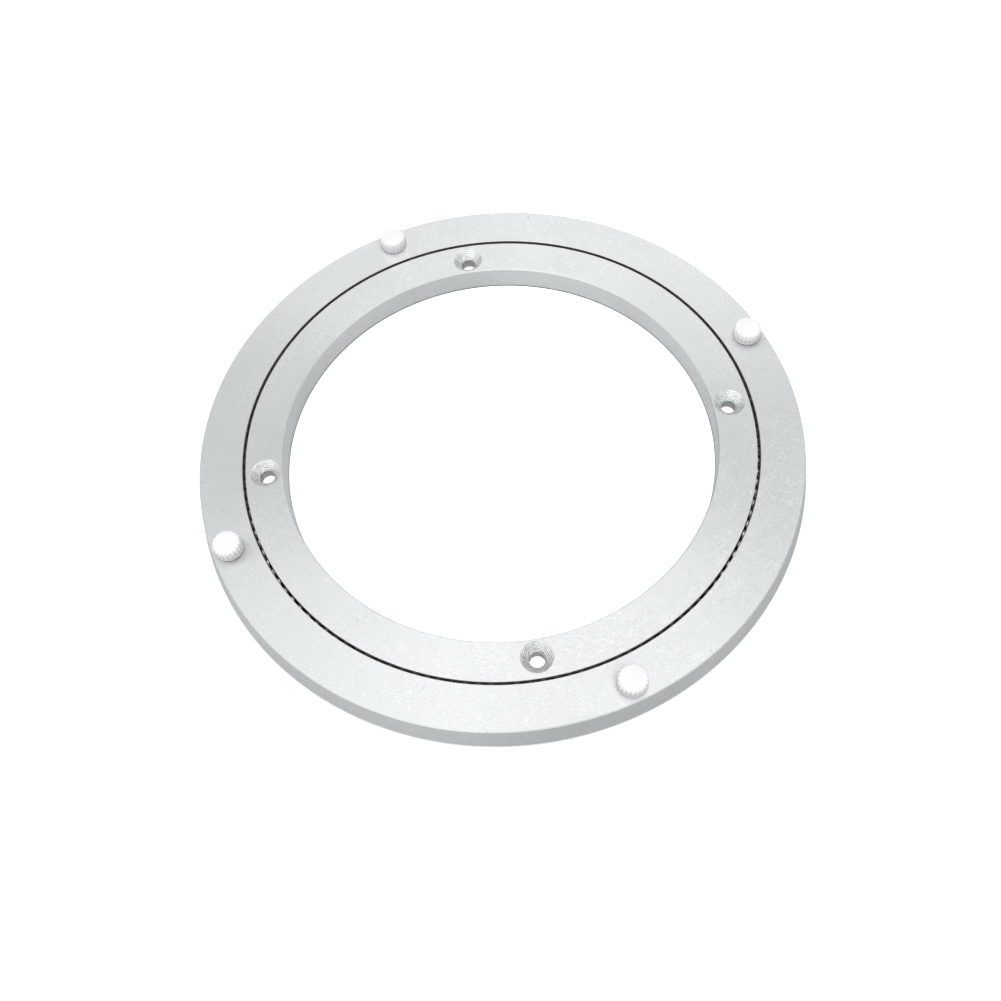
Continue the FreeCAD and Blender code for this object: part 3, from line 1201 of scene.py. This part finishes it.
@dataclass
class Studio:
    """White surroundings, soft lamps and the camera."""

    ambient: float = 0.137
    ambient_colour: Colour = (0.80, 0.99, 1.0, 1.0)
    horizon_gain: float = 0.076
    horizon_height: float = 0.35
    box_gain: float = 1.55
    under_gain: float = 0.8
    box_turn: float = 19.5
    box_centre: tuple[float, float] = (-0.12, -0.11)
    box_half: tuple[float, float] = (0.86, 0.74)
    box_edge: float = 4.0
    floor_side: float = 6.0
    floor_drop: float = 0.05
    floor_colour: Colour = (0.58, 0.58, 0.58, 1.0)
    # The colour of the floor's painted shadow
    shadow_colour: Colour = (0.12, 0.12, 0.12, 1.0)
    floor_glow: float = 0.9
    floor_gleam: float = 0.15
    # Rings of painted shadow on the floor: start, end and soft edge in millimetres, and the share of
    # light kept
    shadows: tuple[tuple[float, float, float, float], ...] = (
        (70.95, 72.0, 0.15, 0.05),
        (81.5, 98.0, 0.1, 0.0),
        (98.0, 100.0, 0.4, 0.55),
    )
    lamps: tuple[Lamp, ...] = (
        Lamp("key", (0.25, 0.35, 0.9), (0.0, 0.0, 0.0), 0.4, 0.4, 0.15),
    )
    focal_length: float = 38.152
    elevation: float = 61.197
    roll: float = 5.931
    turn: float = -3.21
    distance: float = 346.73
    across: float = 1.615
    above: float = 20.661
    aim_height: float = 8.9

    def build(self) -> None:
        """Make the floor, the surroundings, the lamps and the camera."""
        self.light_world()
        self.lay_floor()
        for lamp in self.lamps:
            lamp.build()
        self.set_camera()

    def light_world(self) -> None:
        """Surround the object with soft light that the camera sees as white.

        The light from below reaches the object only where the floor is left out.
        """
        world = bpy.data.worlds.new("studio")
        world.use_nodes = True
        graph = Graph(world.node_tree)
        sight = graph.add("TexCoord").outputs["Generated"]
        rotation = (0.0, 0.0, math.radians(-self.box_turn))
        turn = graph.add("Mapping", {"vector_type": "VECTOR"}, Vector=sight, Rotation=rotation)
        way = graph.add("SeparateXYZ", Vector=turn.outputs[0])
        falls = []
        for axis, (centre, half) in enumerate(zip(self.box_centre, self.box_half)):
            away = graph.math("DIVIDE", graph.math("SUBTRACT", way.outputs[axis], centre), half)
            falls.append(graph.math("POWER", away, self.box_edge))
        glow = graph.math("EXPONENT", graph.math("MULTIPLY", graph.math("ADD", *falls), -1.0))
        above = graph.math("GREATER_THAN", way.outputs[2], 0.0)
        below = graph.math("MULTIPLY", graph.math("SUBTRACT", 1.0, above), self.under_gain)
        box = graph.math("MULTIPLY_ADD", graph.math("MULTIPLY", glow, above), self.box_gain, below)
        rise = graph.math("POWER", graph.math("DIVIDE", way.outputs[2], self.horizon_height), 2.0)
        haze = graph.math("EXPONENT", graph.math("MULTIPLY", rise, -1.0))
        horizon = graph.math("MULTIPLY", haze, self.horizon_gain)
        light = graph.math("ADD", graph.math("ADD", box, horizon), self.ambient)
        seen = graph.add("LightPath").outputs["Is Camera Ray"]
        strength = graph.math("MULTIPLY_ADD", seen, graph.math("SUBTRACT", 1.0, light), light)
        white = graph.math("MAXIMUM", seen, graph.math("DIVIDE", box, light))
        colour = graph.mix(white, self.ambient_colour, (1, 1, 1, 1))
        sky = graph.add("Background", Color=colour, Strength=strength)
        graph.add("OutputWorld", Surface=sky.outputs[0])
        bpy.context.scene.world = world

    def lay_floor(self) -> None:
        """Lay a white floor that keeps the object's soft shadow, with painted shadow in rings close below
        the rings.

        The floor is left out, for light too, as soon as it is looked at from below.
        """
        shape = bmesh.new()
        bmesh.ops.create_grid(shape, x_segments=1, y_segments=1, size=self.floor_side / 2)
        moved(shape, Matrix.Translation((0, 0, -self.floor_drop * MM)))
        floor = plain_object(shape, "floor")
        material = bpy.data.materials.new("white_floor")
        material.use_nodes = True
        graph = Graph(material.node_tree)
        place = graph.add("SeparateXYZ", Vector=graph.add("TexCoord").outputs["Object"])
        reach = graph.reach(place.outputs[0], place.outputs[1])
        open_share = 1.0
        # Painted shadow: in each ring the floor is darker and glows less
        for start, end, soft, kept in self.shadows:
            away = graph.math("ABSOLUTE", graph.math("SUBTRACT", reach, (start + end) / 2 * MM))
            half = (end - start) / 2
            ring = graph.remap(away, half * MM, (half + soft) * MM, kept, 1.0)
            open_share = graph.math("MULTIPLY", ring, open_share)
        paper_colour = graph.mix(open_share, self.shadow_colour, self.floor_colour)
        paper = graph.add("BsdfDiffuse", Color=paper_colour)
        path = graph.add("LightPath")
        shares = [
            graph.math("MULTIPLY", path.outputs[ray], glow)
            for ray, glow in (("Is Camera Ray", self.floor_glow), ("Is Glossy Ray", self.floor_gleam))
        ]
        strength = graph.math("MULTIPLY", graph.math("ADD", *shares), open_share)
        glow = graph.add("Emission", Color=(1, 1, 1, 1), Strength=strength)
        both = graph.add("AddShader", i0=paper.outputs[0], i1=glow.outputs[0])
        passed = graph.math("GREATER_THAN", path.outputs["Transparent Depth"], 0.5)
        absent = graph.math("MAXIMUM", graph.add("NewGeometry").outputs["Backfacing"], passed)
        clear = graph.add("BsdfTransparent").outputs[0]
        surface = graph.add("MixShader", i0=absent, i1=both.outputs[0], i2=clear)
        graph.add("OutputMaterial", Surface=surface.outputs[0])
        floor.data.materials.append(material)

    def set_camera(self) -> None:
        """Put the camera where the photograph was taken from."""
        angle, roll = math.radians(self.elevation), math.radians(self.roll)
        right = Vector((1, 0, 0))
        up = Vector((0, math.sin(angle), math.cos(angle)))
        back = Vector((0, -math.cos(angle), math.sin(angle)))
        aim = Vector((0, 0, self.aim_height))
        place = aim + back * self.distance - right * self.across - up * self.above
        screen_right = right * math.cos(roll) - up * math.sin(roll)
        screen_up = right * math.sin(roll) + up * math.cos(roll)
        axes = Matrix((screen_right, screen_up, back)).transposed().to_4x4()
        data = bpy.data.cameras.new("camera")
        data.sensor_width = 36.0
        data.lens = self.focal_length
        data.clip_start, data.clip_end = 0.01, 20.0
        camera = bpy.data.objects.new("camera", data)
        camera.matrix_world = round_z(self.turn) @ Matrix.Translation(place * MM) @ axes
        bpy.context.scene.collection.objects.link(camera)
        bpy.context.scene.camera = camera
        bpy.context.scene.view_settings.view_transform = "Standard"


def main() -> None:
    """Build the bearing's looks and its studio."""
    logging.basicConfig(level=logging.INFO, format="%(name)s: %(message)s")
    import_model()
    pieces: list[Piece] = [OuterRing(), InnerRing(), FillerPlug()]
    pieces += [Cap(index=index) for index in range(4)]
    for index in range(9):
        pieces += [BallRow(index=index), CageStrip(index=index)]
    for piece in pieces:
        piece.build()
    Studio().build()


if __name__ == "__main__":
    main()
